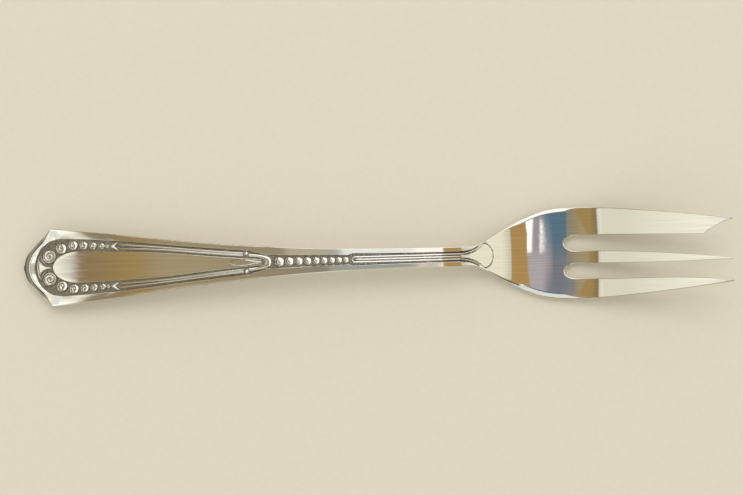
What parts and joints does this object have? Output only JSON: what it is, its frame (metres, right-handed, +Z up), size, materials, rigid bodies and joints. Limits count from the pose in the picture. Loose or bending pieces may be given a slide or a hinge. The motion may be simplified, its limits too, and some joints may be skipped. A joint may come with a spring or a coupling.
{
  "type": "pastry fork",
  "caption": "Three-tined pastry fork with a wide bevelled cutting tine, a dished bowl, an arched stem and a struck handle with beads, scrolls and reeded borders.",
  "frame": {"origin": "on the table plane, under the middle of the fork's length and width", "axes": "+X from the handle end to the tine tips, +Y towards the cutting tine's side, +Z up from the table, with the fork lying face up"},
  "size_m": [0.148, 0.0194, 0.0124],
  "materials": {
    "polished_silver": "mirror-polished silver plate with fine lengthwise polishing lines",
    "satin_silver": "lengthwise brushed silver plate",
    "relief_silver": "struck relief, polished on its crests and darkened in its hollows",
    "sunk_ground": "dark oxidised stippled ground of the relief, plain polished under side"
  },
  "bodies": {
    "root": {"handle_plate": "sunk_ground", "stem": "satin_silver", "neck": "polished_silver", "bowl": "polished_silver", "cutting_tine": "polished_silver", "middle_tine": "polished_silver", "outer_tine": "polished_silver", "end_border": "relief_silver", "left_border": "relief_silver", "right_border": "relief_silver", "panel": "satin_silver", "left_reeds": "relief_silver", "right_reeds": "relief_silver", "left_chevron": "relief_silver", "right_chevron": "relief_silver", "left_rosettes": "relief_silver", "right_rosettes": "relief_silver", "left_volute": "relief_silver", "right_volute": "relief_silver", "palmette": "relief_silver", "leaf_bud": "relief_silver", "cup": "relief_silver", "left_curl": "relief_silver", "right_curl": "relief_silver", "bead_row": "relief_silver", "stem_reeds": "relief_silver", "neck_tongue": "polished_silver", "left_neck_reed": "relief_silver", "right_neck_reed": "relief_silver"}
  },
  "joints": []
}
